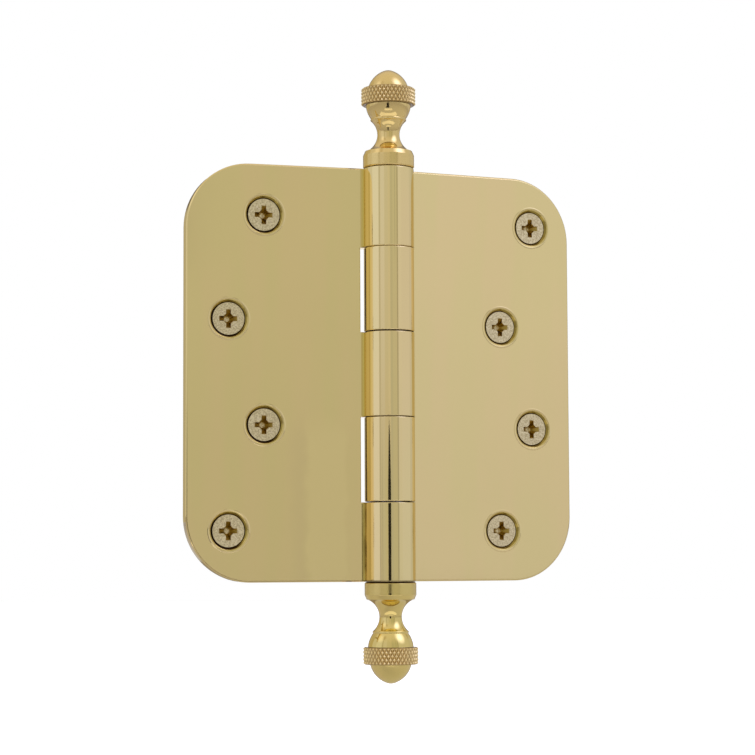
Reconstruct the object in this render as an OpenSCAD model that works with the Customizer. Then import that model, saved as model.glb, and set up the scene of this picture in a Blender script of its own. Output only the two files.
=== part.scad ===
// Full-mortise butt hinge for a door: two round-cornered leaves, a five-knuckle barrel on a loose
// pin, a turned acorn finial with a diamond-knurled band at each end, and eight wood screws.
// Z runs up the pin's axis, -X towards the jamb leaf, and -Y is the side that the faces show.
// The origin is on the pin's axis at the leaves' mid-height.

/* [Leaves] */
// Height of both leaves
leaf_h = 101.6; // [92:0.1:120]
// Reach of a leaf from the pin's axis to its outer edge
leaf_reach = 50.8; // [48:0.1:60]
// Thickness of the leaf plate
leaf_t = 3.3; // [3:0.1:4]
// Radius of a leaf's two outer corners
corner_r = 15.875; // [8:0.125:18]
// Gap between the two plates when the hinge is shut
shut_gap = 1.6; // [0.8:0.1:2.4]
// Chamfer round the plate's edges
edge_break = 0.3; // [0.1:0.05:0.6]
// Opening at rest, where 0 is shut and 180 is flat
open_angle = 188; // [120:1:260]

/* [Barrel] */
// Outside diameter of the knuckles
barrel_d = 12.4; // [11:0.1:13]
// Length of the two end knuckles; the three middle ones share the rest of the leaf's height
end_knuckle = 19.5; // [16:0.05:21]
// How far the joint lines sit below even spacing
comb_drop = 0.2; // [0:0.05:0.5]
// Play of the door leaf's knuckles between the jamb leaf's
knuckle_play = 0.26; // [0.2:0.02:0.6]
// Share of that play that is left above the door leaf's knuckles
play_above = 0.27; // [0.2:0.01:0.8]
// Gap between the barrel and the edge of the other leaf's slot
slot_gap = 0.95; // [0.5:0.05:1.5]
// Radius of the fillets between barrel and plate
root_r = 1; // [0.5:0.1:1.5]
// Chamfer at a knuckle's ends
knuckle_break = 0.15; // [0.05:0.05:0.3]

/* [Pin] */
// Diameter of the hinge pin
pin_d = 6.35; // [5:0.05:7]
// Running clearance round the pin, on the radius
pin_clear = 0.05; // [0.02:0.01:0.1]
// Length of the solid foot of the barrel, which the lower finial screws into
foot_h = 8.8; // [6:0.1:11]
// Gap between the pin's end and the barrel's foot
pin_end_gap = 0.5; // [0.2:0.1:1]
// Chamfer at the pin's lower end
pin_lead = 0.8; // [0.3:0.1:1.2]

/* [Screw holes] */
// Distance from the leaf's outer edge to the far column of holes
hole_edge = 10.6; // [8:0.1:14]
// Distance from the far column of holes to the near one
hole_stagger = 8.8; // [0:0.1:14]
// Distance from the leaf's ends to the first and last hole
end_hole = 12.4; // [10:0.1:16]
// Diameter of the holes through the plate
hole_d = 4.7; // [4.4:0.1:5.4]
// Mouth diameter of the countersinks
sink_d = 9.3; // [8.6:0.1:10]
// Included angle of the countersinks and of the screw heads
sink_angle = 82; // [78:1:100]

/* [Screws] */
// Length from the head's face to the point
screw_l = 25.4; // [16:0.1:38]
// Diameter of the plain shank
shank_d = 4.1; // [3.5:0.1:4.2]
// Mean diameter of the threaded part
thread_d = 3.6; // [2.8:0.1:3.7]
// Length of the threaded part, with its point
thread_l = 16.5; // [8:0.1:20]
// Length of the point
point_l = 4.5; // [2:0.1:6]
// Diameter of the head
head_d = 8.1; // [7.4:0.1:8.6]
// Height of the straight land round the head's rim
head_land = 0.15; // [0.05:0.05:0.3]
// Width across the cross recess
recess_w = 4.6; // [3.6:0.1:5]
// Width of each arm of the cross recess
recess_arm = 1.15; // [0.8:0.05:1.5]
// Diameter of the round core of the recess
recess_core_d = 2.5; // [1.8:0.1:3]
// Depth of the recess
recess_h = 2.2; // [1.5:0.1:2.6]
// Width across the arms at the floor of the recess
recess_floor_w = 1.8; // [1.2:0.1:2.4]

/* [Finials] */
// Diameter of the cap that covers the barrel's end
cap_d = 12.6; // [11:0.1:13.4]
// Chamfer at the cap's seat
cap_break = 0.35; // [0.1:0.05:0.6]
// Height of the cap's side, from the seat to the shoulder
cap_h = 3.15; // [1.5:0.05:4]
// Height of the sloping shoulder above it
shoulder_h = 1.05; // [0.5:0.05:1.4]
// How far the shoulder slopes in
shoulder_in = 0.45; // [0.2:0.05:0.9]
// Smallest diameter of the neck
neck_d = 5.5; // [4.8:0.1:6.5]
// Height of the neck's narrowest point above the seat
neck_z = 8.5; // [7.6:0.05:9]
// Radius of the neck's hollow sweep
neck_sweep = 4.5; // [4:0.1:5.5]
// Height of the bead between neck and cup
bead_z = 12.15; // [11.6:0.05:13]
// Height of the bead's own section
bead_h = 0.75; // [0.4:0.05:1]
// Diameter over the bead
bead_d = 8.85; // [8.4:0.05:9.6]
// Diameter of the cup at its widest
cup_d = 11.2; // [10.4:0.1:12]
// Height of the cup's widest point above the seat
cup_z = 16.4; // [15.8:0.1:17]
// Radius of the cup's sweep
cup_sweep = 6.7; // [5.8:0.1:8]
// Height of the knurled band's lower edge above the seat
band_z = 15.8; // [15:0.05:16.4]
// Height of the knurled band
band_h = 4.15; // [3.4:0.05:4.6]
// Diameter of the band over its diamonds
band_d = 13.5; // [12.8:0.1:16]
// Diameter of the dome at its widest, inside the band
dome_d = 10.4; // [9:0.1:11]
// Height of the dome's widest point above the seat
dome_z = 18.55; // [17.8:0.05:19]
// Height of the finial's tip above the seat
tip_z = 24.65; // [24.2:0.05:27]
// Radius of the round at the tip
tip_round = 3; // [1.5:0.1:4]
// Gap between a finial's seat and the barrel's end
seat_gap = 0.05; // [0.02:0.01:0.2]

/* [Knurl] */
// Number of grooves of each hand round the band
knurl_n = 40; // [24:1:48]
// Number of diamonds up the band
knurl_rows = 2; // [1:1:3]
// Depth of the grooves
knurl_depth = 0.42; // [0.2:0.02:0.6]
// Height of the sloping rims above and below the diamonds
knurl_rim = 0.3; // [0.1:0.05:0.5]

/* [Studs] */
// Diameter of the finials' threaded studs
stud_d = 4.2; // [3.6:0.1:4.4]
// Length of the studs
stud_l = 7.5; // [4:0.1:8]
// Clearance round a stud in its tapped hole, on the radius
stud_clear = 0.04; // [0.02:0.01:0.1]
// Depth of the tapped hole beyond the end of the upper stud
tap_extra = 1.5; // [0.5:0.1:3]

/* [Hidden] */
$fn = 96;

polished_brass = [0.80, 0.70, 0.45];
plated_brass = [0.76, 0.71, 0.58];
steel = [0.62, 0.62, 0.60];

over = 1; // overrun of a cutter past the face that it cuts
lap = 0.5; // how far neighbouring forms of one piece run into each other
barrel_r = barrel_d / 2;
bore_r = pin_d / 2 + pin_clear;
tap_r = stud_d / 2 + stud_clear;
face_y = shut_gap / 2;
back_y = face_y + leaf_t;
mid_y = face_y + leaf_t / 2;
slot_x = barrel_r + slot_gap;
seat_z = leaf_h / 2 + seat_gap;
knuckle_h = (leaf_h - 2 * end_knuckle) / 3;
hole_pitch = (leaf_h - 2 * end_hole) / 3;
far_column = leaf_reach - hole_edge;
near_column = far_column - hole_stagger;
pin_bottom_z = -leaf_h / 2 + foot_h + pin_end_gap;

// Joint line number i between knuckles, counted down from the top edge of the leaves
function joint_z(i) =
    i == 0 ? leaf_h / 2 :
    i == 5 ? -leaf_h / 2 :
    (2.5 - i) * knuckle_h - comb_drop;
// Knuckle i as [lower end, upper end]. Even ones are the jamb leaf's and fill their share of the
// comb; odd ones are the door leaf's and give up the play.
function knuckle_span(i) =
    i % 2 == 0 ? [joint_z(i + 1), joint_z(i)] :
    [joint_z(i + 1) + (1 - play_above) * knuckle_play, joint_z(i) - play_above * knuckle_play];
jamb_knuckles = [0, 2, 4];
door_knuckles = [1, 3];

// Hole i from the top, as [distance from the axis, height]. The door leaf's pattern is the jamb
// leaf's turned end for end, so the two leaves nest when the hinge is shut.
function hole_at(i, near_first) =
    [(i % 2 == 0) == near_first ? near_column : far_column, (1.5 - i) * hole_pitch];

sink_slope = tan(sink_angle / 2);
head_seat_clear = 0.02; // clearance of the screw heads in their countersinks, along the screw
head_depth = (sink_d - head_d) / 2 / sink_slope - head_land - head_seat_clear;
rim_break = head_land / 2;
stud_lead = 0.5; // chamfer at a stud's end

knurl_columns = 2 * knurl_n;
knurl_rings = 2 * knurl_rows + 3; // the pattern's own rings and the two plain rims

// ---- Leaves ----

// Section through the plate from x = inner to its edge at x = outer, where the corners are chamfered
module edge_section(inner, outer)
    polygon([[inner, face_y], [outer - edge_break, face_y], [outer, face_y + edge_break],
             [outer, back_y - edge_break], [outer - edge_break, back_y], [inner, back_y]]);

// Plate from the pin's axis to the leaf's outer edge: the section swept along each side and
// turned round the two outer corners
module plate() {
    straight = leaf_h / 2 - corner_r;
    corner_x = leaf_reach - corner_r;
    translate([0, 0, -straight])
        linear_extrude(2 * straight) edge_section(corner_x - lap, leaf_reach);
    for (end = [0, 1])
        mirror([0, 0, end]) {
            translate([corner_x, 0, -straight]) rotate([-90, 0, 0])
                rotate_extrude() edge_section(0, corner_r);
            rotate([0, 90, 0])
                linear_extrude(corner_x) edge_section(-lap, leaf_h / 2);
        }
}

// Fillet between the barrel and the plate face at height y; side is -1 for the front face and 1
// for the back
module root_fillet(y, side) {
    centre_y = y + side * root_r;
    centre = [sqrt((barrel_r + root_r) ^ 2 - centre_y ^ 2), centre_y];
    difference() {
        polygon([centre, [centre[0], mid_y], [barrel_r / 2, mid_y],
                 centre * (barrel_r - lap) / (barrel_r + root_r)]);
        translate(centre) circle(root_r);
    }
}

// One knuckle of the barrel with the fillets that join it to its own plate
module knuckle(span) {
    low = span[0];
    high = span[1];
    rotate_extrude()
        polygon([[0, low], [barrel_r - knuckle_break, low], [barrel_r, low + knuckle_break],
                 [barrel_r, high - knuckle_break], [barrel_r - knuckle_break, high], [0, high]]);
    translate([0, 0, low + knuckle_break])
        linear_extrude(high - low - 2 * knuckle_break) {
            root_fillet(face_y, -1);
            root_fillet(back_y, 1);
        }
}

// Slot that clears the other leaf's knuckle; at the ends of the comb it runs out of the leaf
module slot(i) {
    low = i == 4 ? -leaf_h / 2 - over : joint_z(i + 1);
    high = i == 0 ? leaf_h / 2 + over : joint_z(i);
    translate([-over, 0, low])
        cube([slot_x + over, back_y + over, high - low]);
}

// Countersunk hole, cut from the front face
module screw_hole() {
    sink_h = (sink_d - hole_d) / 2 / sink_slope;
    rotate([-90, 0, 0]) {
        translate([0, 0, face_y - over]) cylinder(h = leaf_t + 2 * over, d = hole_d);
        translate([0, 0, face_y - over])
            cylinder(h = sink_h + over, d1 = sink_d + 2 * over * sink_slope, d2 = hole_d);
    }
}

// A leaf that reaches towards +X with its front on the -Y side
module leaf(own_knuckles, other_knuckles, near_first)
    difference() {
        union() {
            difference() {
                plate();
                for (i = other_knuckles) slot(i);
            }
            for (i = own_knuckles) knuckle(knuckle_span(i));
        }
        for (i = [0:3]) {
            hole = hole_at(i, near_first);
            translate([hole[0], 0, hole[1]]) screw_hole();
        }
        children();
    }

module jamb_leaf()
    color(polished_brass)
        mirror([1, 0, 0])
            leaf(jamb_knuckles, door_knuckles, true) {
                // pin bore, blind at the barrel's foot, and the lower finial's tapped hole
                translate([0, 0, -leaf_h / 2 + foot_h]) cylinder(h = leaf_h, r = bore_r);
                translate([0, 0, -leaf_h / 2 - over]) cylinder(h = foot_h + 2 * over, r = tap_r);
            }

module door_leaf()
    color(polished_brass)
        rotate([0, 0, open_angle - 180])
            leaf(door_knuckles, jamb_knuckles, false)
                translate([0, 0, -leaf_h / 2]) cylinder(h = leaf_h, r = bore_r);

// ---- Pin and finials ----

// Round pin with a lead at its lower end and a tapped hole in its top for the upper finial
module hinge_pin()
    color(steel)
        difference() {
            union() {
                translate([0, 0, pin_bottom_z])
                    cylinder(h = pin_lead, d1 = pin_d - 2 * pin_lead, d2 = pin_d);
                translate([0, 0, pin_bottom_z + pin_lead])
                    cylinder(h = seat_z - pin_bottom_z - pin_lead, d = pin_d);
            }
            translate([0, 0, seat_z - stud_l - tap_extra])
                cylinder(h = stud_l + tap_extra + over, r = tap_r);
        }

// Half-section of the turned finial: radius along x, height above the seat along y. The forms run
// into one another by lap.
module finial_section() {
    cap_r = cap_d / 2;
    shoulder_r = cap_r - shoulder_in;
    shoulder_z = cap_h + shoulder_h;
    neck_top = bead_z - bead_h / 4;
    cup_base = bead_z - bead_h / 2;
    dome_base = band_z + band_h - lap;
    // the dome's arc is struck from beyond the axis and meets the round of its tip tangentially
    dome_r = dome_d / 2;
    tip_centre_z = tip_z - tip_round;
    rise = tip_centre_z - dome_z;
    reach = dome_r - tip_round;
    dome_offset = (rise ^ 2 - reach ^ 2) / (2 * reach);
    dome_sweep = dome_r + dome_offset;
    dome_top = dome_z + rise * dome_sweep / (dome_sweep - tip_round);

    polygon([[0, 0], [cap_r - cap_break, 0], [cap_r, cap_break], [cap_r, cap_h],
             [shoulder_r, shoulder_z], [0, shoulder_z]]);
    difference() {
        translate([0, shoulder_z - lap]) square([shoulder_r, neck_top - shoulder_z + lap]);
        translate([neck_d / 2 + neck_sweep, neck_z]) circle(neck_sweep);
    }
    translate([(bead_d - bead_h) / 2, bead_z]) circle(bead_h / 2);
    intersection() {
        translate([cup_d / 2 - cup_sweep, cup_z]) circle(cup_sweep);
        translate([0, cup_base]) square([cup_d, band_z + lap - cup_base]);
    }
    translate([0, band_z]) square([dome_r - lap, band_h]);
    intersection() {
        translate([-dome_offset, dome_z]) circle(dome_sweep);
        translate([0, dome_base]) square([dome_d, dome_top - dome_base]);
    }
    intersection() {
        translate([0, tip_centre_z]) circle(tip_round);
        translate([0, dome_top]) square([dome_d, tip_z]);
    }
}

// Diamond-knurled band. Left- and right-hand grooves cross on a grid of half pitches: where i + j
// is even a diamond has its point, and where it is odd two grooves cross.
function knurl_radius(i, j) =
    band_d / 2 - (j == 0 || j == knurl_rings - 1 || (i + j) % 2 == 1 ? knurl_depth : 0);
function knurl_height(j) =
    j == 0 ? 0 :
    j == knurl_rings - 1 ? band_h :
    knurl_rim + (j - 1) * (band_h - 2 * knurl_rim) / (knurl_rings - 3);
function knurl_index(i, j) = j * knurl_columns + i % knurl_columns;
// The two triangles of a grid cell, split along the groove that crosses it
function knurl_cell(i, j) =
    let (a = knurl_index(i, j), b = knurl_index(i + 1, j),
         c = knurl_index(i + 1, j + 1), d = knurl_index(i, j + 1))
    (i + j) % 2 == 1 ? [[a, c, b], [a, d, c]] : [[a, d, b], [b, d, c]];

module knurled_band()
    translate([0, 0, band_z])
        polyhedron(
            points = [for (j = [0:knurl_rings - 1], i = [0:knurl_columns - 1])
                let (r = knurl_radius(i, j), a = 360 * i / knurl_columns)
                [r * cos(a), r * sin(a), knurl_height(j)]],
            faces = concat(
                [[for (i = [0:knurl_columns - 1]) knurl_index(i, 0)]],
                [[for (i = [knurl_columns - 1:-1:0]) knurl_index(i, knurl_rings - 1)]],
                [for (j = [0:knurl_rings - 2], i = [0:knurl_columns - 1], t = [0, 1])
                    knurl_cell(i, j)[t]]));

// Acorn finial standing on its seat at z = 0, with its stud below
module finial()
    color(polished_brass) {
        rotate_extrude() finial_section();
        knurled_band();
        translate([0, 0, -stud_l]) cylinder(h = stud_lead, d1 = stud_d - 2 * stud_lead, d2 = stud_d);
        translate([0, 0, stud_lead - stud_l]) cylinder(h = stud_l - stud_lead + lap, d = stud_d);
    }

module upper_finial() translate([0, 0, seat_z]) finial();
module lower_finial() mirror([0, 0, 1]) translate([0, 0, seat_z]) finial();

// ---- Screws ----

// Cross recess: two tapering arms and a round core, cut down from z = 0
module cross_recess() {
    for (turn = [0, 90])
        rotate(turn) translate([0, recess_arm / 2, 0]) rotate([90, 0, 0])
            linear_extrude(recess_arm)
                polygon([[-recess_w / 2, over], [recess_w / 2, over], [recess_w / 2, 0],
                         [recess_floor_w / 2, -recess_h], [-recess_floor_w / 2, -recess_h],
                         [-recess_w / 2, 0]]);
    translate([0, 0, -recess_h])
        cylinder(h = recess_h, d1 = recess_floor_w / 2, d2 = recess_core_d);
    cylinder(h = over, d = recess_core_d);
}

// Flat-headed wood screw with its face at z = 0 and its point below
module wood_screw() {
    head_r = head_d / 2;
    shank_r = shank_d / 2;
    thread_r = thread_d / 2;
    head_h = head_land + (head_r - shank_r) / sink_slope;
    color(plated_brass)
        difference() {
            rotate_extrude()
                polygon([[0, 0], [head_r - rim_break, 0], [head_r, -rim_break], [head_r, -head_land],
                         [shank_r, -head_h], [shank_r, thread_l - screw_l],
                         [thread_r, thread_l - screw_l - (shank_r - thread_r)],
                         [thread_r, point_l - screw_l], [0, -screw_l]]);
            cross_recess();
        }
}

// Screw in hole i of a leaf that reaches towards +X
module seated_screw(i, near_first) {
    hole = hole_at(i, near_first);
    translate([hole[0], face_y + head_depth, hole[1]]) rotate([90, 0, 0]) wood_screw();
}

module jamb_screw(i) mirror([1, 0, 0]) seated_screw(i - 1, true);
module door_screw(i) rotate([0, 0, open_angle - 180]) seated_screw(i - 1, false);

jamb_leaf();
door_leaf();
hinge_pin();
upper_finial();
lower_finial();
for (i = [1:4]) {
    jamb_screw(i);
    door_screw(i);
}
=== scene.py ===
"""A polished brass butt hinge with acorn finials, dressed for a studio picture."""

import math

import bpy
from mathutils import Matrix, Vector


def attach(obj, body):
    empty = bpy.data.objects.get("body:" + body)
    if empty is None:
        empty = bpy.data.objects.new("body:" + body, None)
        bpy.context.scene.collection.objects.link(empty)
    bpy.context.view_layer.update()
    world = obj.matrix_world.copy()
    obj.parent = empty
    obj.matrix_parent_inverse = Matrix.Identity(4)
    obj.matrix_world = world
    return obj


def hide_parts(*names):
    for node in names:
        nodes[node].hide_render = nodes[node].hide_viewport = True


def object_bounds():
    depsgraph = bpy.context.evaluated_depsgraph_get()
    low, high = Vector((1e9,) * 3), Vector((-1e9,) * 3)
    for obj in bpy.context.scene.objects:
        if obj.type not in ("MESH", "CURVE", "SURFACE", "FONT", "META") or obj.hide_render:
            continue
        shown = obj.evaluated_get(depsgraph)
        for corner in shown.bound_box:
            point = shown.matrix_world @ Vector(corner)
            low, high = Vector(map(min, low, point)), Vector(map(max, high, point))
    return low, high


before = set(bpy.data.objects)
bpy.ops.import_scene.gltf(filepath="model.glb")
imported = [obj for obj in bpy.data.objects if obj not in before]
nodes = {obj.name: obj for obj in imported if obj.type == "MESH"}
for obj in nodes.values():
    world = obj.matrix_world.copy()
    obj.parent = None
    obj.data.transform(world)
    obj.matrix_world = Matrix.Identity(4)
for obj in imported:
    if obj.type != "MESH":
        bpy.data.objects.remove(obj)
cad_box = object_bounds()

# ---- The view ----
# The hinge hangs opened flat and is seen from the left and from a little below its middle.
# Lengths are in metres throughout.

view_yaw = math.radians(16.739)
view_pitch = math.radians(-4.373)
view_roll = math.radians(-0.243)
view_from = Vector((-0.16648, -0.54329, -0.04431))

camera = bpy.data.objects.new("view", bpy.data.cameras.new("view"))
camera.data.sensor_width = 36
camera.data.lens = 110.68
camera.matrix_world = (
    Matrix.Translation(view_from)
    @ Matrix.Rotation(-view_yaw, 4, "Z")
    @ Matrix.Rotation(-view_pitch, 4, "X")
    @ Matrix.Rotation(-view_roll, 4, "Y")
    @ Matrix.Rotation(math.pi / 2, 4, "X")
)
bpy.context.scene.collection.objects.link(camera)
bpy.context.scene.camera = camera

# ---- Leaves ----
# Two plates of solid brass with their knuckles, milled, then buffed on a soft wheel to a mirror and
# lacquered. The wheel leaves a faint waviness, and dry polish stays in the corners and in the
# countersinks, which it can't reach. Shade is painted in these places and along the joints, slots
# and edges, and a darker gold is painted where the brass mirrors itself.

brass = (0.90, 0.73, 0.33, 1)
# A darker gold painted where the brass mirrors itself, and the near black of dried polish and
# painted shade
painted_gold_reflection = (0.60, 0.45, 0.09, 1)
polish_and_shade = (0.045, 0.021, 0.003, 1)
patch_brass = (0.94, 0.76, 0.35, 1)
patch_edge_brass = (0.88, 0.70, 0.33, 1)
door_turn = math.radians(8)

# Where things are on a leaf: its reach from the pin and its half height are the same. The combs
# sit comb_drop low, with their joints that far from the middle. Both leaves have two columns of
# holes, with their countersinks within sink_reach. Depths are along Y, away from the viewer.
leaf_reach = 0.0508
corner_round = 0.015875
barrel_radius = 0.0062
comb_drop = 0.0002
inner_joint, outer_joint = 0.01043, 0.0313
slot_wall = 0.00715
near_column, far_column = 0.0314, 0.0402
top_hole, hole_pitch = 0.0384, 0.0256
sink_reach = 0.0048
face_depth = 0.0008
back_depth = 0.0041
on_face = face_depth + 0.00003


def new_group(name, inputs, outputs):
    """A shader node group. inputs are (name, kind of socket, default), outputs are (name, kind)."""
    group = bpy.data.node_groups.new(name, "ShaderNodeTree")
    for label, kind, value in inputs:
        socket = group.interface.new_socket(label, in_out="INPUT", socket_type="NodeSocket" + kind)
        if value is not None:
            socket.default_value = value
    for label, kind in outputs:
        group.interface.new_socket(label, in_out="OUTPUT", socket_type="NodeSocket" + kind)
    given = group.nodes.new("NodeGroupInput").outputs
    result = group.nodes.new("NodeGroupOutput").inputs
    return group, given, result


def add(tree, kind, inputs=(), **settings):
    """A new shader node. inputs maps its sockets' names or numbers to values or links."""
    node = tree.nodes.new("ShaderNode" + kind)
    for key, value in settings.items():
        setattr(node, key, value)
    for key, value in dict(inputs).items():
        if isinstance(value, bpy.types.NodeSocket):
            tree.links.new(value, node.inputs[key])
        else:
            node.inputs[key].default_value = value
    return node


def sums(tree, operation, *values):
    """The result of a Math node."""
    return add(tree, "Math", enumerate(values), operation=operation).outputs[0]


def ramp(tree, value, low, high, to_low=0.0, to_high=1.0):
    """value eased from one range into another and held at its ends."""
    inputs = {0: value, 1: low, 2: high, 3: to_low, 4: to_high}
    return add(tree, "MapRange", inputs, interpolation_type="SMOOTHSTEP").outputs[0]


def mix(tree, factor, first, second):
    """One colour mixed into another."""
    return add(tree, "Mix", {0: factor, 6: first, 7: second}, data_type="RGBA").outputs[2]


# Buffed metal: slow clouds and a faint blush in its tone, streaks left by the wheel, and the
# wheel's waviness
buffed, given, result = new_group(
    "buffed_metal",
    [("Vector", "Vector", None), ("Tone", "Color", brass), ("Clouding", "Float", 0.03),
     ("Roughness", "Float", 0.04), ("Streaks", "Float", 0.03)],
    [("Color", "Color"), ("Roughness", "Float"), ("Height", "Float")],
)
clouds = add(buffed, "TexNoise", {"Vector": given["Vector"], "Scale": 45.0, "Detail": 3.0})
shade = sums(buffed, "SUBTRACT", clouds.outputs[0], 0.5)
shade = sums(buffed, "MULTIPLY_ADD", shade, given["Clouding"], 1.0)
toned = add(buffed, "VectorMath", {0: given["Tone"], "Scale": shade}, operation="SCALE")
hanging = add(buffed, "Mapping", {"Vector": given["Vector"], "Scale": (110.0, 110.0, 14.0)})
blush = add(buffed, "TexNoise", {"Vector": hanging.outputs[0], "Scale": 1.0, "Detail": 2.0})
blush = ramp(buffed, blush.outputs[0], 0.4, 0.65)
blush = mix(buffed, blush, (0.99, 1, 0.985, 1), (1.015, 0.99, 1.02, 1))
toned = add(buffed, "VectorMath", {0: toned.outputs[0], 1: blush}, operation="MULTIPLY")
drawn_out = add(buffed, "Mapping", {"Vector": given["Vector"], "Scale": (700.0, 700.0, 60.0)})
streaks = add(buffed, "TexNoise", {"Vector": drawn_out.outputs[0], "Scale": 1.0, "Detail": 3.0})
rough = sums(buffed, "MULTIPLY_ADD", streaks.outputs[0], given["Streaks"], given["Roughness"])
waves = add(buffed, "TexNoise", {"Vector": given["Vector"], "Scale": 60.0, "Detail": 1.0})
buffed.links.new(toned.outputs[0], result["Color"])
buffed.links.new(rough, result["Roughness"])
buffed.links.new(waves.outputs[0], result["Height"])

# Where the wheel can't reach, and where shade and reflection are painted, on a leaf that is turned
# by Turn about the pin. The first output is dried polish and painted shade: in the countersinks (an
# input says how much), darkest on their lower left, on the walls of the comb's slots, inside the
# barrel, along the joints between the knuckles and along the plate's outline at its foot, with dark
# clumps low in the corner beside the knuckles. The second output is a darker gold painted where the
# brass mirrors itself: in the corner of plate and barrel, in the countersinks and on the plate's
# sides.
unreached_and_shaded, given, result = new_group(
    "unreached_and_shaded_places",
    [("Vector", "Vector", None), ("Normal", "Vector", None), ("Turn", "Float", 0.0),
     ("SeatDarkness", "Float", 1.0)],
    [("ResidueAndShade", "Float"), ("PaintedReflection", "Float")],
)


def levelled(vector):
    """A vector's parts in the frame of a leaf that lies flat."""
    turned_back = {"Vector": vector, "Angle": given["Turn"]}
    turned_back = add(unreached_and_shaded, "VectorRotate", turned_back, rotation_type="Z_AXIS")
    return add(unreached_and_shaded, "SeparateXYZ", {0: turned_back.outputs[0]}).outputs


def all_of(tree, *masks):
    """The product of some masks."""
    product = masks[0]
    for factor in masks[1:]:
        product = sums(tree, "MULTIPLY", product, factor)
    return product


at, facing = levelled(given["Vector"]), levelled(given["Normal"])
out, up = sums(unreached_and_shaded, "ABSOLUTE", at["X"]), sums(unreached_and_shaded, "ABSOLUTE", at["Z"])
depth = at["Y"]
flat = add(unreached_and_shaded, "CombineXYZ", {0: at["X"], 1: depth})
radius = add(unreached_and_shaded, "VectorMath", {0: flat.outputs[0]}, operation="LENGTH").outputs["Value"]
holes = all_of(
    unreached_and_shaded,
    sums(unreached_and_shaded, "LESS_THAN", depth, back_depth - 0.0001),
    sums(unreached_and_shaded, "LESS_THAN", out, far_column + sink_reach),
    sums(unreached_and_shaded, "GREATER_THAN", out, near_column - sink_reach),
    sums(unreached_and_shaded, "LESS_THAN", up, top_hole + sink_reach),
)
# The countersinks' cones take painted shade and a painted gold reflection
below_face = ramp(unreached_and_shaded, depth, face_depth + 0.00004, face_depth + 0.00014)
cone = sums(unreached_and_shaded, "MULTIPLY", below_face, holes)
# Painted shade in the countersinks over dried polish, darkest on their lower left walls
shaded = ramp(unreached_and_shaded, sums(unreached_and_shaded, "ADD", facing["X"], facing["Z"]), -0.3, 0.6)
start = ramp(unreached_and_shaded, shaded, 0.0, 1.0, 0.00118, 0.0009)
seat_polish_and_shade = all_of(
    unreached_and_shaded,
    ramp(unreached_and_shaded, sums(unreached_and_shaded, "SUBTRACT", depth, start), 0.0, 0.00012),
    ramp(unreached_and_shaded, shaded, 0.0, 1.0, 0.65, 1.0),
    given["SeatDarkness"],
    holes,
)
# Painted shade on the walls of the comb's slots
slot_shade = all_of(
    unreached_and_shaded,
    sums(unreached_and_shaded, "COMPARE", out, slot_wall, 0.00004),
    sums(unreached_and_shaded, "GREATER_THAN", depth, face_depth + 0.00005),
)
# Painted shade inside the barrel and on the knuckles' ends
core_shade = ramp(unreached_and_shaded, radius, barrel_radius - 0.00025, barrel_radius - 0.00012, 1.0, 0.0)
on_barrel = ramp(unreached_and_shaded, radius, barrel_radius + 0.00002, barrel_radius + 0.00006, 1.0, 0.0)
front = sums(unreached_and_shaded, "LESS_THAN", depth, face_depth - 0.00001)
# Dark clumps low in the corner beside the knuckles
upright = add(unreached_and_shaded, "Mapping", {"Vector": given["Vector"], "Scale": (500.0, 500.0, 150.0)})
clumps = add(unreached_and_shaded, "TexNoise", {"Vector": upright.outputs[0], "Scale": 1.0, "Detail": 2.0})
low_corner_clumps = all_of(
    unreached_and_shaded,
    front,
    sums(unreached_and_shaded, "GREATER_THAN", depth, -0.0006),
    ramp(unreached_and_shaded, out, 0.0062, 0.0072, 1.0, 0.0),
    ramp(unreached_and_shaded, clumps.outputs[0], 0.35, 0.65, 0.2, 0.65),
    ramp(unreached_and_shaded, at["Z"], -0.035, -0.02, 1.0, 0.0),
)
# Painted shade along the joints between the knuckles, fainter at the top
from_joint = sums(unreached_and_shaded, "ABSOLUTE", sums(unreached_and_shaded, "ADD", at["Z"], comb_drop))
near_joint = 1.0
for joint in (inner_joint, outer_joint):
    apart = sums(unreached_and_shaded, "ABSOLUTE", sums(unreached_and_shaded, "SUBTRACT", from_joint, joint))
    near_joint = sums(unreached_and_shaded, "MINIMUM", near_joint, apart)
joint_shade = all_of(
    unreached_and_shaded,
    ramp(unreached_and_shaded, near_joint, 0.00008, 0.0002, 1.0, 0.0),
    ramp(unreached_and_shaded, at["Z"], 0.015, 0.03, 0.7, 0.15),
    on_barrel,
    front,
)
# Painted reflection: darker gold on the plate's sides
side_reflection = all_of(
    unreached_and_shaded,
    ramp(unreached_and_shaded, sums(unreached_and_shaded, "ABSOLUTE", facing["Y"]), 0.5, 0.95, 0.5, 0.0),
    sums(unreached_and_shaded, "GREATER_THAN", radius, 0.008),
)
# Distance that is corner_round all along the plate's outline, on its straights and in its corners
past = [sums(unreached_and_shaded, "SUBTRACT", along, leaf_reach - corner_round) for along in (out, up)]
past = [sums(unreached_and_shaded, "MAXIMUM", along, 0.0) for along in past]
past = add(unreached_and_shaded, "CombineXYZ", enumerate(past)).outputs[0]
outline = add(unreached_and_shaded, "VectorMath", {0: past}, operation="LENGTH").outputs["Value"]
# Painted shade along the plate's outline, strongest at its foot
edge_shade = all_of(
    unreached_and_shaded,
    ramp(unreached_and_shaded, outline, corner_round - 0.00048, corner_round - 0.00028),
    sums(unreached_and_shaded, "LESS_THAN", depth, on_face),
    ramp(unreached_and_shaded, at["Z"], -0.03, 0.01, 0.8, 0.0),
    ramp(unreached_and_shaded, at["X"], -0.02, 0.02, 1.0, 0.15),
)
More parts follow.
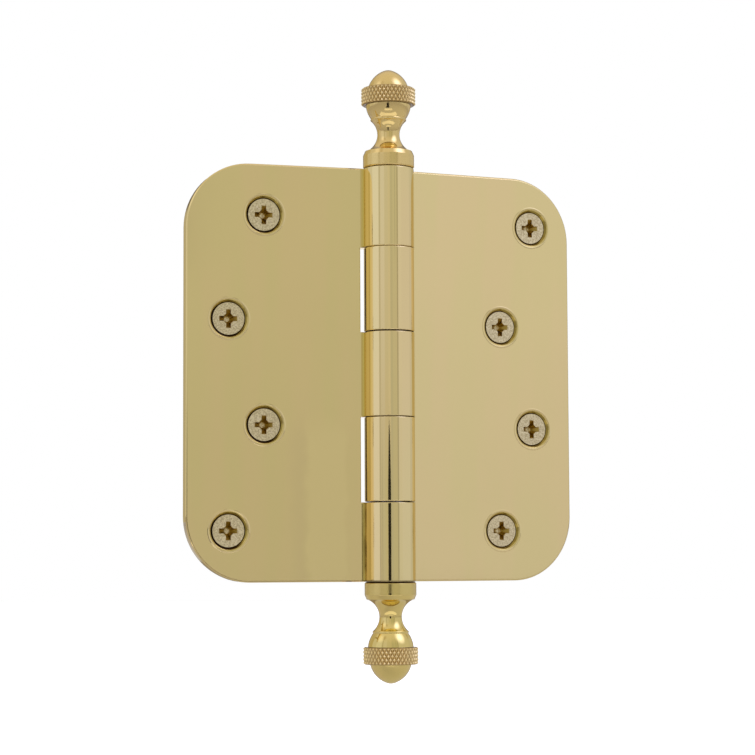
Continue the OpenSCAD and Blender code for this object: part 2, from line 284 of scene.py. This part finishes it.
# Painted reflection: darker gold where the brass mirrors itself in the corner of plate and barrel
root = all_of(
    unreached_and_shaded,
    front,
    ramp(unreached_and_shaded, out, 0.0064, 0.0076, 1.0, 0.0),
    sums(unreached_and_shaded, "GREATER_THAN", depth, -0.001),
    sums(unreached_and_shaded, "GREATER_THAN", radius, barrel_radius + 0.00002),
)
# Painted reflection of the plate on the barrel beside it
cheek_reflection = all_of(
    unreached_and_shaded,
    ramp(unreached_and_shaded, at["X"], 0.0041, 0.0047, 0.0, 0.6),
    on_barrel,
    front,
)
# Dried polish and painted shade together
residue_and_shade = sums(unreached_and_shaded, "MAXIMUM", seat_polish_and_shade, sums(unreached_and_shaded, "MULTIPLY", cone, 0.4))
for part in (slot_shade, core_shade, low_corner_clumps, joint_shade, edge_shade):
    residue_and_shade = sums(unreached_and_shaded, "MAXIMUM", residue_and_shade, part)
unreached_and_shaded.links.new(residue_and_shade, result["ResidueAndShade"])
for part in (cheek_reflection, cone, side_reflection):
    root = sums(unreached_and_shaded, "MAXIMUM", root, part)
unreached_and_shaded.links.new(root, result["PaintedReflection"])


# A lighter patch low on the plate beside the barrel: its inside, and its slightly darker far edge
patched, given, result = new_group(
    "lighter_patch", [("Vector", "Vector", None)], [("Inside", "Float"), ("Edge", "Float")]
)
stir = add(patched, "TexNoise", {"Vector": given["Vector"], "Scale": 150.0, "Detail": 2.0})
stir = sums(patched, "MULTIPLY_ADD", stir.outputs[0], 0.004, -0.002)
axes = add(patched, "SeparateXYZ", {0: given["Vector"]}).outputs
across = sums(patched, "ADD", axes["X"], stir)
low = ramp(patched, sums(patched, "ADD", axes["Z"], stir), -0.018, -0.008, 1.0, 0.0)
inside = ramp(patched, across, -0.0222, -0.0198)
inside = all_of(patched, inside, ramp(patched, across, -0.0115, -0.0095, 1.0, 0.0), low)
far_edge = ramp(patched, across, -0.0265, -0.0225)
far_edge = all_of(patched, far_edge, ramp(patched, across, -0.0222, -0.0198, 1.0, 0.0), low)
patched.links.new(inside, result["Inside"])
patched.links.new(far_edge, result["Edge"])


# The low lip that the countersink throws up round each screw hole, and a painted gold reflection
# along the hole's edge, on a leaf that is turned by Turn about the pin. First and Second are where
# the columns of holes 1 and 3 and of holes 2 and 4 are.
lipped, given, result = new_group(
    "hole_lips",
    [("Vector", "Vector", None), ("Turn", "Float", 0.0), ("First", "Float", 0.0),
     ("Second", "Float", 0.0)],
    [("Height", "Float"), ("Edge", "Float")],
)
lip_radius = 0.00505
edge_radius = 0.0047
at = {"Vector": given["Vector"], "Angle": given["Turn"]}
at = add(lipped, "VectorRotate", at, rotation_type="Z_AXIS").outputs[0]
depth = add(lipped, "SeparateXYZ", {0: at}).outputs["Y"]
flat = add(lipped, "VectorMath", {0: at, 1: (1, 0, 1)}, operation="MULTIPLY").outputs[0]
nearest = 1.0
for number in range(4):
    column = given["Second"] if number % 2 else given["First"]
    centre = add(lipped, "CombineXYZ", {0: column, 2: top_hole - number * hole_pitch}).outputs[0]
    reach = add(lipped, "VectorMath", {0: flat, 1: centre}, operation="DISTANCE").outputs["Value"]
    nearest = sums(lipped, "MINIMUM", nearest, reach)
off = sums(lipped, "ABSOLUTE", sums(lipped, "SUBTRACT", nearest, lip_radius))
face = sums(lipped, "LESS_THAN", depth, on_face)
lip = all_of(lipped, ramp(lipped, off, 0.0, 0.0003, 1.0, 0.0), face)
lipped.links.new(lip, result["Height"])
# Painted reflection: a gold line along each hole's edge
off = sums(lipped, "ABSOLUTE", sums(lipped, "SUBTRACT", nearest, edge_radius))
edge_reflection = all_of(lipped, ramp(lipped, off, 0.00003, 0.00013, 0.8, 0.0), face)
lipped.links.new(edge_reflection, result["Edge"])


def new_material(name):
    """A node material that holds a metallic Principled shader, and its tree."""
    material = bpy.data.materials.new(name)
    material.use_nodes = True
    tree = material.node_tree
    tree.nodes.clear()
    shader = add(tree, "BsdfPrincipled", {"Metallic": 1.0})
    add(tree, "OutputMaterial", {"Surface": shader.outputs[0]})
    return material, tree, shader.inputs


def coat(tree, shader, colour, rough, relief):
    """Links a shader's colour and roughness, and the node that gives its relief."""
    tree.links.new(colour, shader["Base Color"])
    tree.links.new(rough, shader["Roughness"])
    tree.links.new(relief.outputs[0], shader["Normal"])


def leaf_material(name, turn, columns, seat_darkness, has_patch):
    """Polished brass for a leaf that is turned about the pin, with or without the lighter patch.

    columns are where its first and its second column of holes are.
    """
    material, tree, shader = new_material(name)
    place = add(tree, "TexCoord").outputs
    at = place["Object"]
    finish = add(tree, "Group", {"Vector": at}, node_tree=buffed).outputs
    missed = {"Vector": at, "Normal": place["Normal"], "Turn": -turn, "SeatDarkness": seat_darkness}
    missed = add(tree, "Group", missed, node_tree=unreached_and_shaded).outputs
    colour = finish["Color"]
    if has_patch:
        patch = add(tree, "Group", {"Vector": at}, node_tree=patched).outputs
        colour = mix(tree, patch["Inside"], colour, patch_brass)
        colour = mix(tree, patch["Edge"], colour, patch_edge_brass)
    lips = {"Vector": at, "Turn": -turn, "First": columns[0], "Second": columns[1]}
    lips = add(tree, "Group", lips, node_tree=lipped).outputs
    # Painted reflections in darker gold along the holes' edges and where the brass mirrors itself,
    # then dried polish and painted shade
    colour = mix(tree, lips["Edge"], colour, painted_gold_reflection)
    colour = mix(tree, missed["PaintedReflection"], colour, painted_gold_reflection)
    colour = mix(tree, missed["ResidueAndShade"], colour, polish_and_shade)
    rough = ramp(tree, missed["ResidueAndShade"], 0.0, 1.0, 0.0, 0.25)
    rough = sums(tree, "ADD", rough, finish["Roughness"])
    worn = add(tree, "Bevel", {"Radius": 0.0003}, samples=6).outputs[0]
    wavy = {"Height": finish["Height"], "Strength": 0.03, "Distance": 0.001, "Normal": worn}
    wavy = add(tree, "Bump", wavy).outputs[0]
    raised = {"Height": lips["Height"], "Strength": 1.0, "Distance": 0.00004, "Normal": wavy}
    coat(tree, shader, colour, rough, add(tree, "Bump", raised))
    return material


def dress(name, material):
    """Gives a CAD node its material."""
    nodes[name].data.materials.clear()
    nodes[name].data.materials.append(material)


columns = (-near_column, -far_column)
# The door leaf's countersinks get less painted shade than the jamb leaf's
dress("jamb_leaf", leaf_material("polished_brass_jamb", 0.0, columns, 1.0, True))
columns = (far_column, near_column)
dress("door_leaf", leaf_material("polished_brass_door", door_turn, columns, 0.75, False))

# ---- Pin ----
# A ground steel rod, loose in the barrel. It shows only when it is lifted out, as fine rings
# left by the grinding wheel on dull grey steel.

steel = (0.50, 0.49, 0.47, 1)

material, tree, shader = new_material("ground_steel")
place = add(tree, "TexCoord").outputs["Object"]
finish = {"Vector": place, "Tone": steel, "Roughness": 0.2, "Streaks": 0.1}
finish = add(tree, "Group", finish, node_tree=buffed).outputs
rings = add(tree, "Mapping", {"Vector": place, "Scale": (50.0, 50.0, 9000.0)})
rings = add(tree, "TexNoise", {"Vector": rings.outputs[0], "Scale": 1.0, "Detail": 1.0})
ground = add(tree, "Bump", {"Height": rings.outputs[0], "Strength": 0.1, "Distance": 0.00005})
coat(tree, shader, finish["Color"], finish["Roughness"], ground)
dress("hinge_pin", material)

# ---- Finials ----
# Acorns turned from redder brass bars, with a diamond knurl rolled into the band. The turned forms
# are polished and keep faint tool rings; the knurl stays dull, with dark polish and painted shade
# in its grooves. Shade is painted in the joint at the seat and under the band.

upper_brass = (0.85, 0.64, 0.24, 1)
lower_brass = (0.84, 0.66, 0.22, 1)
knurl_brass = (0.98, 0.77, 0.34, 1)
groove_polish_and_shade = (0.53, 0.36, 0.13, 1)
corner_shade = (0.10, 0.06, 0.02, 1)
seat_height = 0.05085
seats_low = 0.0001
cap_height = 0.00315
band_low = seat_height + 0.0158
band_high = band_low + 0.00415
knurl_outer = 0.00675
knurl_deep = 0.00042
band_inside = 0.0059

# Where the knurled band is, how far down in its grooves a point lies, and where shade is painted:
# in the joint at the seat, thicker on the lower finial, and in the corner under the band. Dull are
# foot and dome, left as turned.
knurled, given, result = new_group(
    "knurl_mask", [("Vector", "Vector", None)],
    [("Band", "Float"), ("Groove", "Float"), ("CornerShade", "Float"), ("Dull", "Float")]
)
axes = add(knurled, "SeparateXYZ", {0: given["Vector"]})
height = sums(knurled, "ABSOLUTE", axes.outputs["Z"])
flat = add(knurled, "CombineXYZ", {0: axes.outputs["X"], 1: axes.outputs["Y"]})
radius = add(knurled, "VectorMath", {0: flat.outputs[0]}, operation="LENGTH").outputs["Value"]
band = all_of(
    knurled,
    sums(knurled, "GREATER_THAN", radius, band_inside),
    sums(knurled, "GREATER_THAN", height, band_low - 0.0001),
    sums(knurled, "LESS_THAN", height, band_high + 0.0001),
)
# The grooves are painted darker: dried polish with painted shade
groove = ramp(knurled, radius, knurl_outer - knurl_deep, knurl_outer - 0.3 * knurl_deep, 1.0, 0.0)
# Painted shade in the joint at the seat and under the band
from_seat = sums(knurled, "ABSOLUTE", sums(knurled, "ADD", axes.outputs["Z"], seats_low))
joint = ramp(knurled, from_seat, seat_height + 0.00013, seat_height + 0.0003, 1.0, 0.0)
under = sums(knurled, "COMPARE", height, band_low, 0.00008)
shade = ramp(knurled, radius, band_inside - 0.0002, band_inside + 0.0001, 0.8, 0.65)
under = sums(knurled, "MULTIPLY", under, shade)
knurled.links.new(sums(knurled, "MAXIMUM", joint, under), result["CornerShade"])
knurled.links.new(band, result["Band"])
cap = ramp(knurled, height, seat_height + 0.8 * cap_height, seat_height + cap_height, 1.0, 0.0)
dome = ramp(knurled, height, band_high, band_high + 0.0002)
knurled.links.new(sums(knurled, "MAXIMUM", cap, dome), result["Dull"])
knurled.links.new(sums(knurled, "MULTIPLY", band, groove), result["Groove"])

material, tree, shader = new_material("turned_brass")
place = add(tree, "TexCoord").outputs["Object"]
upper = ramp(tree, add(tree, "SeparateXYZ", {0: place}).outputs["Z"], -0.01, 0.01)
finish = {"Vector": place, "Tone": mix(tree, upper, lower_brass, upper_brass), "Roughness": 0.06}
finish = add(tree, "Group", finish, node_tree=buffed).outputs
knurl = add(tree, "Group", {"Vector": place}, node_tree=knurled).outputs
colour = mix(tree, knurl["Band"], finish["Color"], knurl_brass)
# Dark polish and painted shade in the grooves, and painted shade at the seat and under the band
colour = mix(tree, knurl["Groove"], colour, groove_polish_and_shade)
colour = mix(tree, knurl["CornerShade"], colour, corner_shade)
rough = sums(tree, "MULTIPLY_ADD", knurl["Band"], 0.25, finish["Roughness"])
rough = sums(tree, "MULTIPLY_ADD", knurl["Dull"], 0.13, rough)
rings = add(tree, "Mapping", {"Vector": place, "Scale": (20.0, 20.0, 6000.0)})
rings = add(tree, "TexNoise", {"Vector": rings.outputs[0], "Scale": 1.0, "Detail": 1.0}).outputs[0]
worn = add(tree, "Bevel", {"Radius": 0.0002}, samples=6).outputs[0]
turned = {"Height": rings, "Strength": 0.05, "Distance": 0.00003, "Normal": worn}
coat(tree, shader, colour, rough, add(tree, "Bump", turned))
for name in ("upper_finial", "lower_finial"):
    dress(name, material)

# ---- Screws ----
# Eight cross-recessed wood screws of steel, cold-headed, thread-rolled and brass-plated to a satin
# grey-gold. Shade is painted on the walls of the recess and round the rim of the head.

dark_plating = (0.64, 0.53, 0.28, 1)
light_plating = (0.93, 0.80, 0.47, 1)
tick_plating = (0.4, 0.3, 0.14, 1)
# Painted shade for the walls of the recess and for the head's rim
recess_shade_colour = (0.48, 0.34, 0.07, 1)
rim_shade_colour = (0.15, 0.085, 0.012, 1)
screw_length = 0.0254
shank_radius = 0.00205
thread_root = 0.00145
thread_start = 0.0089
thread_pitch = 0.0014
rows_a_turn = 8
crest_width = 0.32
crest_round = 0.8
point_length = 0.0045
point_round = 0.7
head_radius = 0.00405
head_side = 0.00015
head_round = 0.00012
head_slope = math.tan(math.radians(41))
head_face = 0.0013202
facets = 48

# The cross recess at its mouth and at its floor: half length and half width of its arms, and how
# far its inner corners are out
recess_reach = (0.0023, 0.00058)
recess_arm = (0.0006, 0.00032)
recess_corner = (0.00182, 0.00058)
recess_depth = 0.002


def recess_radius(angle, at):
    """Outline of the cross recess in a direction: at is 0 for its mouth and 1 for its floor."""
    angle = abs((angle + math.pi / 4) % (math.pi / 2) - math.pi / 4)
    across, along = math.sin(angle), math.cos(angle)
    arm = recess_reach[at] / along
    if across > 1e-9:
        arm = min(arm, recess_arm[at] / across)
    return max(arm, recess_corner[at] / (across + along))


def screw_mesh():
    """A screw with its face at z = 0 and its point below."""
    tip = math.atan2(recess_arm[0], recess_reach[0])
    inner = math.atan2(recess_arm[0], recess_corner[0] - recess_arm[0])
    angles = set()
    for quarter in range(4):
        middle = quarter * math.pi / 2
        angles |= {middle, middle + math.pi / 4}
        for corner in (tip, inner):
            angles |= {middle + corner, middle - corner}
    angles |= {2 * math.pi * k / facets for k in range(facets)}
    angles = sorted({round(a % (2 * math.pi), 5) for a in angles})
    rows = [[(0.0, -recess_depth + 0.0001)] * len(angles)]
    rows.append([(recess_radius(a, 1), -recess_depth) for a in angles])
    rows.append([(recess_radius(a, 0), 0.0) for a in angles])
    side = [(head_radius - head_round, 0.0), (head_radius, -head_round), (head_radius, -head_side)]
    neck = head_side + (head_radius - shank_radius) / head_slope
    side += [(shank_radius, -neck), (shank_radius, -thread_start)]
    rows += [[point] * len(angles) for point in side]
    smooth_from = len(rows) - 2
    steps = int((screw_length - thread_start) / (thread_pitch / rows_a_turn))
    for step in range(1, steps + 1):
        z = -thread_start - (screw_length - thread_start) * step / steps
        to_point = min(1.0, (screw_length + z) / point_length)
        start = min(1.0, step / rows_a_turn)
        narrowed = min(1.0, step / (rows_a_turn / 2))
        root = thread_root + (shank_radius - thread_root) * (1 - narrowed)
        row = []
        for a in angles:
            phase = (z / thread_pitch + a / (2 * math.pi)) % 1
            crest = max(0.0, 1 - abs(phase - 0.5) / crest_width) ** crest_round
            radius = root + (shank_radius - root) * crest * start
            row.append((radius * to_point ** point_round, z))
        rows.append(row)
    points, faces = [], []
    for row in rows:
        points += [(r * math.cos(a), r * math.sin(a), z) for (r, z), a in zip(row, angles)]
    count = len(angles)
    for j in range(len(rows) - 1):
        for i in range(count):
            k = (i + 1) % count
            faces.append((j * count + i, j * count + k, (j + 1) * count + k, (j + 1) * count + i))
    mesh = bpy.data.meshes.new("wood_screw")
    mesh.from_pydata(points, [], faces)
    mesh.polygons.foreach_set(
        "use_smooth", [k // count >= smooth_from for k in range(len(mesh.polygons))]
    )
    mesh.validate()
    own = mesh.attributes.new("own_place", "FLOAT_VECTOR", "POINT")
    own.data.foreach_set("vector", [c for v in mesh.vertices for c in v.co])
    return mesh


# Marks on the head: four short ticks between the arms left by the heading tool, painted shade on
# the walls of the recess round its plated floor, and painted shade on the rim of the head
headed, given, result = new_group(
    "head_marks_and_shade", [("Vector", "Vector", None)],
    [("Ticks", "Float"), ("RecessShade", "Float"), ("RimShade", "Float")]
)
diagonal = {"Vector": given["Vector"], "Angle": math.pi / 4}
diagonal = add(headed, "VectorRotate", diagonal, rotation_type="Z_AXIS")
axes = add(headed, "SeparateXYZ", {0: diagonal.outputs[0]})
one, other = (sums(headed, "ABSOLUTE", axes.outputs[k]) for k in ("X", "Y"))
across, along = sums(headed, "MINIMUM", one, other), sums(headed, "MAXIMUM", one, other)
ticks = all_of(
    headed,
    ramp(headed, across, 0.00003, 0.00009, 1.0, 0.0),
    ramp(headed, along, 0.0016, 0.0018),
    ramp(headed, along, 0.0026, 0.003, 1.0, 0.0),
    sums(headed, "GREATER_THAN", axes.outputs["Z"], -0.00005),
)
headed.links.new(ticks, result["Ticks"])
flat = add(headed, "CombineXYZ", {0: axes.outputs["X"], 1: axes.outputs["Y"]})
radius = add(headed, "VectorMath", {0: flat.outputs[0]}, operation="LENGTH").outputs["Value"]
# Painted shade on the walls of the recess, lighter on its floor
recess_shade = all_of(
    headed,
    ramp(headed, axes.outputs["Z"], -0.00025, -0.00002, 1.0, 0.0),
    ramp(headed, axes.outputs["Z"], 0.00001 - recess_depth, 0.0003 - recess_depth, 0.1, 1.0),
    sums(headed, "LESS_THAN", radius, recess_reach[0] + 0.0002),
)
headed.links.new(recess_shade, result["RecessShade"])
# Painted shade round the rim of the head
rim_shade = ramp(headed, radius, head_radius - 0.00016, head_radius - 0.00007)
headed.links.new(rim_shade, result["RimShade"])

material, tree, shader = new_material("plated_screw")
place = add(tree, "Attribute", attribute_name="own_place").outputs["Vector"]
chance = add(tree, "ObjectInfo").outputs["Random"]
apart = add(tree, "VectorMath", {0: place, 1: chance}, operation="ADD").outputs[0]
speckle = add(tree, "TexNoise", {"Vector": apart, "Scale": 2800.0, "Detail": 2.0})
marks = add(tree, "Group", {"Vector": place}, node_tree=headed).outputs
grains = ramp(tree, speckle.outputs[0], 0.35, 0.65)
plating = mix(tree, grains, dark_plating, light_plating)
faint_ticks = sums(tree, "MULTIPLY", marks["Ticks"], 0.5)
plating = mix(tree, faint_ticks, plating, tick_plating)
# Painted shade on the recess walls and round the head's rim
plating = mix(tree, marks["RecessShade"], plating, recess_shade_colour)
plating = mix(tree, marks["RimShade"], plating, rim_shade_colour)
tree.links.new(plating, shader["Base Color"])
shader["Roughness"].default_value = 0.32
sunk_ticks = sums(tree, "MULTIPLY", marks["Ticks"], 3.0)
height = sums(tree, "SUBTRACT", speckle.outputs[0], sunk_ticks)
grain = add(tree, "Bump", {"Height": height, "Strength": 0.35, "Distance": 0.00004})
tree.links.new(grain.outputs[0], shader["Normal"])

for side, first_near, sign, turn in (("jamb", True, -1, 0), ("door", False, 1, door_turn)):
    screw = screw_mesh()
    screw.transform(Matrix.Rotation(turn, 4, "Z") @ Matrix.Rotation(math.pi / 2, 4, "X"))
    screw.materials.append(material)
    for number in range(1, 5):
        column = near_column if (number % 2 == 1) == first_near else far_column
        height = top_hole - (number - 1) * hole_pitch
        piece = bpy.data.objects.new(f"{side}_wood_screw_{number}", screw)
        piece.location = Matrix.Rotation(turn, 4, "Z") @ Vector((sign * column, head_face, height))
        bpy.context.scene.collection.objects.link(piece)
        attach(piece, f"{side}_side")
        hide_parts(f"{side}_screw_{number}")

# ---- Studio ----
# A pale floor, two white boards lying low in front, two dark cards behind that give the turned
# forms their outline, a narrow black flag with its foot behind the viewer, and a room of broad
# panels round the hinge that the brass mirrors.

floor_drop = 0.04
floor_z = cad_box[0].z - floor_drop
towards_view = Matrix.Rotation(-view_yaw, 4, "Z")


def set_up(name, corners, colour, hidden=True):
    """A flat card of the studio. Its corners are given with -Y towards the viewer."""
    mesh = bpy.data.meshes.new(name)
    mesh.from_pydata([towards_view @ Vector(c) for c in corners], [], [range(len(corners))])
    card = bpy.data.objects.new(name, mesh)
    bpy.context.scene.collection.objects.link(card)
    card.visible_camera = card.visible_diffuse = card.visible_shadow = not hidden
    material, tree, shader = new_material(name)
    shader["Metallic"].default_value = 0.0
    shader["Base Color"].default_value = colour
    shader["Roughness"].default_value = 0.9
    mesh.materials.append(material)
    return tree


floor_half = 3.0
corners = [(floor_half * x, floor_half * y) for x, y in ((-1, -1), (1, -1), (1, 1), (-1, 1))]
tree = set_up("floor", [(x, y, floor_z) for x, y in corners], (0.56, 0.56, 0.56, 1), hidden=False)
paint, output = tree.nodes["Principled BSDF"], tree.nodes["Material Output"]

# The floor shows white, and the brass mirrors it as bright straight behind the hinge. From below
# it lets the view through.
floor_white = 0.75
behind_light = 0.5
behind_from = 1.02
behind_spread = math.tan(math.radians(7))
path = add(tree, "LightPath")
place = add(tree, "TexCoord").outputs["Object"]
turned = add(tree, "VectorRotate", {"Vector": place, "Angle": view_yaw}, rotation_type="Z_AXIS")
axes = add(tree, "SeparateXYZ", {0: turned.outputs[0]}).outputs
aside = sums(tree, "DIVIDE", sums(tree, "ABSOLUTE", axes["X"]), axes["Y"])
behind = all_of(
    tree,
    path.outputs["Is Glossy Ray"],
    sums(tree, "GREATER_THAN", axes["Y"], behind_from),
    sums(tree, "LESS_THAN", aside, behind_spread),
)
shown = sums(tree, "MULTIPLY", path.outputs["Is Camera Ray"], floor_white)
glow = add(tree, "Emission", {1: sums(tree, "MULTIPLY_ADD", behind, behind_light, shown)})
lit = add(tree, "AddShader", {0: paint.outputs[0], 1: glow.outputs[0]})
under = add(tree, "BsdfTransparent")
facing = add(tree, "NewGeometry").outputs["Backfacing"]
both = add(tree, "MixShader", {0: facing, 1: lit.outputs[0], 2: under.outputs[0]})
tree.links.new(both.outputs[0], output.inputs[0])

board_z = floor_z + 0.002
for name, near, far, wide in (("near_board", 0.07, 0.16, 0.17), ("far_board", 0.24, 0.33, 0.12)):
    corners = [(-wide, -far), (wide, -far), (wide, -near), (-wide, -near)]
    set_up(name, [(x, y, board_z) for x, y in corners], (1, 1, 1, 1))

card_z = floor_z + 0.001
card_near, card_far = 0.08, 2
for name, side in (("left_edge_card", -1), ("right_edge_card", 1)):
    inner, outer = side * behind_spread, side * math.tan(math.radians(26))
    corners = [(inner, card_near), (outer, card_near), (outer, card_far), (inner, card_far)]
    set_up(name, [(slope * y, y, card_z) for slope, y in corners], (0.3, 0.26, 0.18, 1))

flag_x, flag_y = -0.022, -0.575
flag_half, flag_top_half = 0.066, 0.027
flag_foot_y = -0.38
black = (0.02, 0.02, 0.02, 1)
flag = [(flag_half, -0.35), (flag_half, -0.01), (flag_top_half, 0.018)]
flag += [(-x, z) for x, z in reversed(flag)]
set_up("flag", [(flag_x + x, flag_y, z) for x, z in flag], black)
foot = [(-1, flag_y), (1, flag_y), (1, flag_foot_y), (-1, flag_foot_y)]
set_up("flag_foot", [(flag_x + side * flag_half, y, card_z) for side, y in foot], black)

# Panels of the room as (bearing at which each starts, its light at eye level, and higher up).
# Bearings are in degrees from the viewer, positive to the right.
panels = [
    (-180, (0.22, 0.19, 0.15), (0.22, 0.19, 0.15)),
    (-157, (0.52, 0.47, 0.34), (0.54, 0.49, 0.36)),
    (-110, (0.62, 0.62, 0.70), (0.67, 0.67, 0.76)),
    (-81, (0.715, 0.73, 0.90), (0.76, 0.78, 0.97)),
    (-48, (0.50, 0.49, 0.51), (0.53, 0.52, 0.55)),
    (-40.5, (0.55, 0.55, 0.57), (0.685, 0.685, 0.82)),
    (-21, (0.56, 0.545, 0.51), (0.62, 0.61, 0.65)),
    (-5, (0.62, 0.60, 0.59), (0.64, 0.615, 0.62)),
    (5, (0.50, 0.51, 0.53), (0.53, 0.53, 0.53)),
    (16, (0.535, 0.533, 0.52), (0.575, 0.573, 0.56)),
    (36, (0.39, 0.39, 0.40), (0.40, 0.39, 0.37)),
    (41.5, (0.637, 0.642, 0.735), (0.685, 0.69, 0.79)),
    (58, (0.65, 0.66, 0.79), (0.665, 0.665, 0.765)),
    (106, (0.58, 0.58, 0.65), (0.62, 0.62, 0.70)),
    (140, (0.54, 0.50, 0.42), (0.58, 0.54, 0.46)),
    (157, (0.22, 0.19, 0.15), (0.22, 0.19, 0.15)),
]
panel_blur = 1.2
level_end = 0.15

# Thin dark frames between panels as (bearing, half width, whether low down or else high up, how
# dark), and the heights between which the low ones fade out and the high ones fade in
frames = [(-34.5, 1.6, True, 0.2), (-46, 1.2, True, 0.12), (27, 1.5, False, 0.22)]
low_fade = (0.03, 0.06)
high_fade = (0.12, 0.135)

world = bpy.data.worlds.new("studio")
bpy.context.scene.world = world
world.use_nodes = True
tree = world.node_tree
tree.nodes.clear()
place = add(tree, "TexCoord").outputs["Generated"]
turned = add(tree, "VectorRotate", {"Vector": place, "Angle": view_yaw}, rotation_type="Z_AXIS")
axes = add(tree, "SeparateXYZ", {0: turned.outputs[0]})
ahead = sums(tree, "MULTIPLY", axes.outputs["Y"], -1.0)
bearing = sums(tree, "ARCTAN2", axes.outputs["X"], ahead)
round_room = add(tree, "MapRange", {0: bearing, 1: -math.pi, 2: math.pi})


def panel_ring(at):
    """The room's panels at one height: at is 1 for eye level and 2 for higher up."""
    room = add(tree, "ValToRGB", {0: round_room.outputs[0]})
    stops = room.color_ramp.elements
    stops.remove(stops[1])
    stops[0].color = (*panels[0][at], 1)
    for before, after in zip(panels, panels[1:]):
        stops.new((after[0] - panel_blur + 180) / 360).color = (*before[at], 1)
        stops.new((after[0] + panel_blur + 180) / 360).color = (*after[at], 1)
    return room.outputs[0]


walls = mix(tree, ramp(tree, axes.outputs["Z"], 0.0, level_end), panel_ring(1), panel_ring(2))
for where, half_width, low, dark in frames:
    if low:
        reach = ramp(tree, axes.outputs["Z"], *low_fade, dark, 0.0)
    else:
        reach = ramp(tree, axes.outputs["Z"], *high_fade, 0.0, dark)
    off = sums(tree, "ABSOLUTE", sums(tree, "SUBTRACT", bearing, math.radians(where)))
    width = math.radians(half_width)
    line = sums(tree, "MULTIPLY", ramp(tree, off, 0.4 * width, 1.6 * width, 1.0, 0.0), reach)
    kept = sums(tree, "SUBTRACT", 1.0, line)
    walls = add(tree, "VectorMath", {0: walls, "Scale": kept}, operation="SCALE").outputs[0]
ceiling_light = (0.77, 0.72, 0.74, 1)
ceiling = ramp(tree, axes.outputs["Z"], 0.35, 0.95)
sky = mix(tree, ceiling, walls, ceiling_light)

# Soft glow of the overhead lamps, as the domes mirror them, and a dimmer gap between them:
# (direction, spread, light)
for aim, spread, light in (
    ((0.66, -0.27, 0.70), 0.5, (0.76, 0.8, 1.55)),
    ((0.64, -0.28, 0.72), 0.25, (0.45, 0.5, 1.0)),
    ((-0.70, -0.305, 0.64), 0.32, (0.26, 0.25, 0.34)),
    ((-0.48, -0.48, 0.73), 0.22, (-0.16, -0.19, -0.28)),
):
    towards = add(tree, "VectorMath", {0: turned.outputs[0], 1: aim}, operation="DOT_PRODUCT")
    glow = ramp(tree, towards.outputs["Value"], math.cos(spread), 1.0)
    glow = add(tree, "VectorMath", {0: light, "Scale": glow}, operation="SCALE")
    sky = add(tree, "VectorMath", {0: sky, 1: glow.outputs[0]}, operation="ADD").outputs[0]

# The room shows white, and the brass mirrors it so straight behind the hinge
white_from = math.radians(174)
white_top = 0.3
room_light = add(tree, "Background", {"Color": sky})
white = add(tree, "Background", {"Color": (1, 1, 1, 1)})
path = add(tree, "LightPath").outputs
behind = all_of(
    tree,
    sums(tree, "MAXIMUM", path["Is Glossy Ray"], path["Is Transmission Ray"]),
    sums(tree, "GREATER_THAN", sums(tree, "ABSOLUTE", bearing), white_from),
    sums(tree, "LESS_THAN", axes.outputs["Z"], white_top),
)
shown = sums(tree, "MAXIMUM", path["Is Camera Ray"], behind)
seen = add(tree, "MixShader", {0: shown, 1: room_light.outputs[0], 2: white.outputs[0]})
add(tree, "OutputWorld", {"Surface": seen.outputs[0]})

# A softbox up behind on the right throws the hinge's soft shadow and isn't mirrored
lamp = bpy.data.objects.new("softbox", bpy.data.lights.new("softbox", "AREA"))
lamp.data.shape = "DISK"
lamp.data.size = 0.5
lamp.data.energy = 3.0
lamp.location = (0.35, 0.25, 0.75)
lamp.rotation_euler = lamp.location.to_track_quat("Z", "Y").to_euler()
lamp.visible_glossy = False
bpy.context.scene.collection.objects.link(lamp)

bpy.context.scene.view_settings.view_transform = "Standard"
